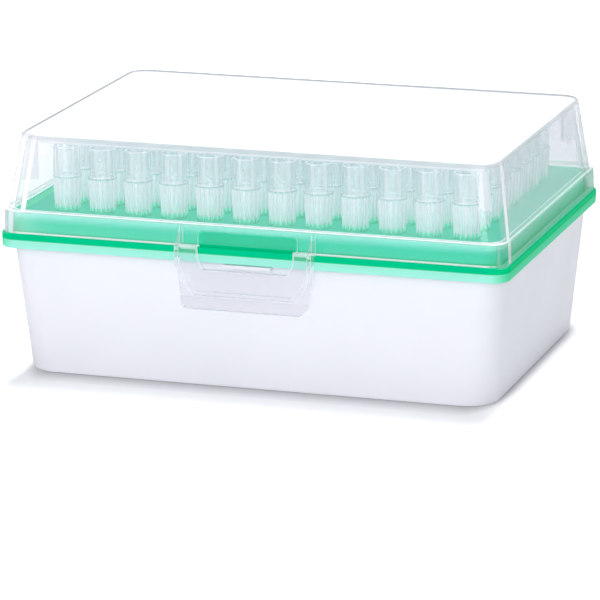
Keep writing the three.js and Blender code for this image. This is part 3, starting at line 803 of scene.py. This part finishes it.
def make_latch():
    """The latch: a plate with the finger lip, the ribs that frame it, a shelf under the skirt, two fins."""
    front, back, top, half, root = LATCH["front"], LATCH["back"], LATCH["top"], LATCH["half"], LATCH["root"]
    start, low = LATCH["lip_start"], LATCH["bottom"] - 1
    rib_front, width = LATCH_RIB["front"], LATCH_RIB["width"]
    face = latch_outline()
    plate = side_panel("plate", [
        (back, top), (front, top), (front, start), (lip_face(low), low),
        (lip_face(low) + back - front, low), (back, start - 0.3)], -half - 1, half + 1)
    combined(plate, [front_panel("face", face, rib_front - PAST, root)], "INTERSECT")
    core, foot = front + 0.5, LATCH_RIB["low"] - 0.2
    ribs = side_panel("ribs", [
        (core, top), (rib_front, top), (rib_front, LATCH_RIB["full"]), (LATCH_RIB["bead"], foot),
        (core, foot)],
        -half - 1, half + 1)
    combined(ribs, [front_panel("face", face, rib_front - PAST, root)], "INTERSECT")
    combined(ribs, [front_panel("panel", panel_outline(0), rib_front - PAST, root)], "INTERSECT")
    combined(ribs, [front_panel("pocket", panel_outline(width), rib_front - PAST - 1, root + 1)],
             "DIFFERENCE")
    shelf = front_panel("shelf", rectangle(-half, LID[0][0], half, top), front, root)
    gusset = [(root, LATCH["step"]), (rib_front, top), (rib_front, top - 1), (back, top - 1),
              (back, LID[0][0]), (root, LID[0][0])]
    fins = [side_panel("fin", gusset, -half, width - half), side_panel("fin", gusset, half - width, half)]
    combined(plate, [ribs, shelf, *fins], "UNION")
    return combined(plate, [front_panel("window", window_outline(), rib_front - PAST, back + 0.3)],
                    "DIFFERENCE")


def make_hook(x):
    """A hook of the lid, round the pin of the tub and open towards the front and below."""
    y, z, bore, hook, low = HINGE["y"], HINGE["z"], HINGE["bore"], HINGE["hook"], LID[0][0]
    wall, start, end = -LATCH["root"], 145, -65
    points = [(wall, low), (y + bore * math.cos(math.radians(start)), low), *arc(y, z, bore, start, end, 24),
              *arc(y, z, hook, end, 90, 20), (wall, z + hook)]
    return side_panel("hook", points, x - HINGE["half"], x + HINGE["half"])


def make_web(sign_x, sign_y):
    """A thin plate on the corner's bisector, from its inner edge out into the corner's wall."""
    half, reach = CORNER_WEB["thickness"] / 2, CORNER_WEB["reach"]
    angle = math.atan2(sign_y, sign_x)

    def place(a, z, depth):
        x = sign_x * CORNER_WEB["x"] + a * math.cos(angle) - depth * math.sin(angle)
        y = sign_y * CORNER_WEB["y"] + a * math.sin(angle) + depth * math.cos(angle)
        return x, y, z

    return prism("web", rectangle(0, CORNER_WEB["bottom"], reach, TOP), -half, half, place)


def make_lid():
    """The lid's shell with its webs, latch and hooks, less the notch behind the latch."""
    lid = loft("lid_moulding", LID)
    combined(lid, [loft("hollow", LID_INSIDE)], "DIFFERENCE")
    for sign_x, sign_y in ((1, 1), (-1, 1), (-1, -1), (1, -1)):
        web = make_web(sign_x, sign_y)
        combined(web, [loft("limit", LID)], "INTERSECT")
        combined(lid, [web], "UNION")
    combined(lid, [make_latch(), *[make_hook(x) for x in HINGE["x"]]], "UNION")
    return combined(lid, [front_panel("notch", notch_outline(), LATCH["back"], NOTCH["back"])], "DIFFERENCE")


# ------------------------------------------------------------------ stage

# Place in metres, angles in degrees, lens and sensor in millimetres, and how far it sees in metres.
CAMERA = {"place": (0.29947, -0.93757, 0.26862), "yaw": 17.79, "pitch": 14.63, "roll": -0.229, "lens": 249.7,
          "sensor": 36, "reach": 20}


def make_camera():
    data = bpy.data.cameras.new("camera")
    data.lens = CAMERA["lens"]
    data.sensor_width = CAMERA["sensor"]
    data.clip_end = CAMERA["reach"]
    camera = link("camera", data)
    camera.location = CAMERA["place"]
    turned = Euler((math.radians(90 - CAMERA["pitch"]), 0, math.radians(CAMERA["yaw"]))).to_matrix()
    camera.rotation_euler = (turned @ Matrix.Rotation(math.radians(CAMERA["roll"]), 3, "Z")).to_euler()
    bpy.context.scene.camera = camera


def floor_material():
    """White to the eye, its shadow of the object partly painted, and plain pale matt for everything else."""
    s = Shader("floor")
    axes = s.axes()
    out_x, out_y = s.math("ABSOLUTE", axes["X"]), s.math("ABSOLUTE", axes["Y"])
    path = s.add("ShaderNodeLightPath").outputs
    # A painted contact shadow: deepest at the tub's foot, gone 9 mm in front of it and 3 mm beside it.
    away = s.length(s.spread_mm(out_x, 0, 1, 51.6, 60.6), s.spread_mm(out_y, 0, 1, 22, 49))
    shaded = s.add("ShaderNodeBsdfDiffuse", {"Color": s.ramp(away, [
        (0.0, (0.5, 0.5, 0.52)), (0.667, (0.5, 0.5, 0.52)), (0.99, (0.86, 0.86, 0.88)),
        (1.0, (0.86, 0.86, 0.88))])})
    # Painted glow: it washes out the lamps' shadow past the tub's ends, and is less by the foot.
    beside = s.largest(s.spread_mm(axes["X"], 0.42, 0, -60, -57), s.spread_mm(axes["X"], 0, 0.3, 58.5, 63))
    added = s.math("ADD", beside, s.spread(away, -0.05, 0.1, 0.667, 1.0))
    strength = s.math("MULTIPLY_ADD", added, path["Is Camera Ray"], 0.1)
    glow = s.add("ShaderNodeEmission", {"Color": (1, 1, 1, 1), "Strength": strength})
    bright = s.add("ShaderNodeAddShader", {0: shaded.outputs[0], 1: glow.outputs[0]})
    matt = s.add("ShaderNodeBsdfDiffuse", {"Color": (0.86, 0.86, 0.88, 1)})
    mix = s.add("ShaderNodeMixShader", {0: s.seen(path), 1: matt.outputs[0], 2: bright.outputs[0]})
    return s.finish(mix.outputs[0])


FLOOR = {"half": 6.0, "gap": 0.00005}  # metres; the gap keeps it just clear of the tub's underside


def make_floor():
    bm = bmesh.new()
    bmesh.ops.create_grid(bm, x_segments=1, y_segments=1, size=FLOOR["half"])
    floor = from_bmesh("floor", bm)
    floor.location.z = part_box("tub")[0].z - FLOOR["gap"]
    floor.data.materials.append(floor_material())
    floor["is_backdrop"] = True


def make_world():
    """Soft light from all round, with a white backdrop where it is seen."""
    s = Shader("studio", bpy.data.worlds.new("studio"), "ShaderNodeOutputWorld")
    light = s.add("ShaderNodeBackground", {"Color": (0.95, 0.97, 1.0, 1), "Strength": 0.48})
    backdrop = s.add("ShaderNodeBackground", {"Color": (1, 1, 1, 1), "Strength": 1.0})
    seen = s.seen(s.add("ShaderNodeLightPath").outputs)
    mix = s.add("ShaderNodeMixShader", {0: seen, 1: light.outputs[0], 2: backdrop.outputs[0]})
    bpy.context.scene.world = s.finish(mix.outputs[0])


# Softboxes: place and size in metres, and power in watts.
LAMPS = {
    "key": {"place": (-0.5, -1.15, 0.9), "size": 1.2, "power": 3.7},
    "front": {"place": (0.2, -1.4, 0.4), "size": 0.9, "power": 6.8},
    "side": {"place": (1.3, 0.1, 0.6), "size": 0.8, "power": 0.2},
    "top": {"place": (0.08, 0.36, 1.3), "size": 0.42, "power": 10.2},
}


def make_lamps():
    """Square lamps, each turned to the middle of the object."""
    low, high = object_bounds()
    centre = (low + high) / 2
    for name, facts in LAMPS.items():
        data = bpy.data.lights.new(name, "AREA")
        data.size = facts["size"]
        data.energy = facts["power"]
        lamp = link(name, data)
        lamp.location = facts["place"]
        lamp.rotation_euler = (centre - lamp.location).to_track_quat("-Z", "Y").to_euler()


# ------------------------------------------------------------------ the whole

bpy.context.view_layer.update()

finish_piece(make_tub(), white_plastic(), "rack", ["tub"])
finish_piece(make_deck(), green_plastic(), "rack", ["deck"])
make_tips(tip_plastic())
finish_piece(make_lid(), clear_plastic(), "cover", ["lid"])

make_camera()
make_floor()
make_world()
make_lamps()
bpy.context.scene.view_settings.view_transform = "Standard"
bpy.context.scene.cycles.transparent_max_bounces = 48
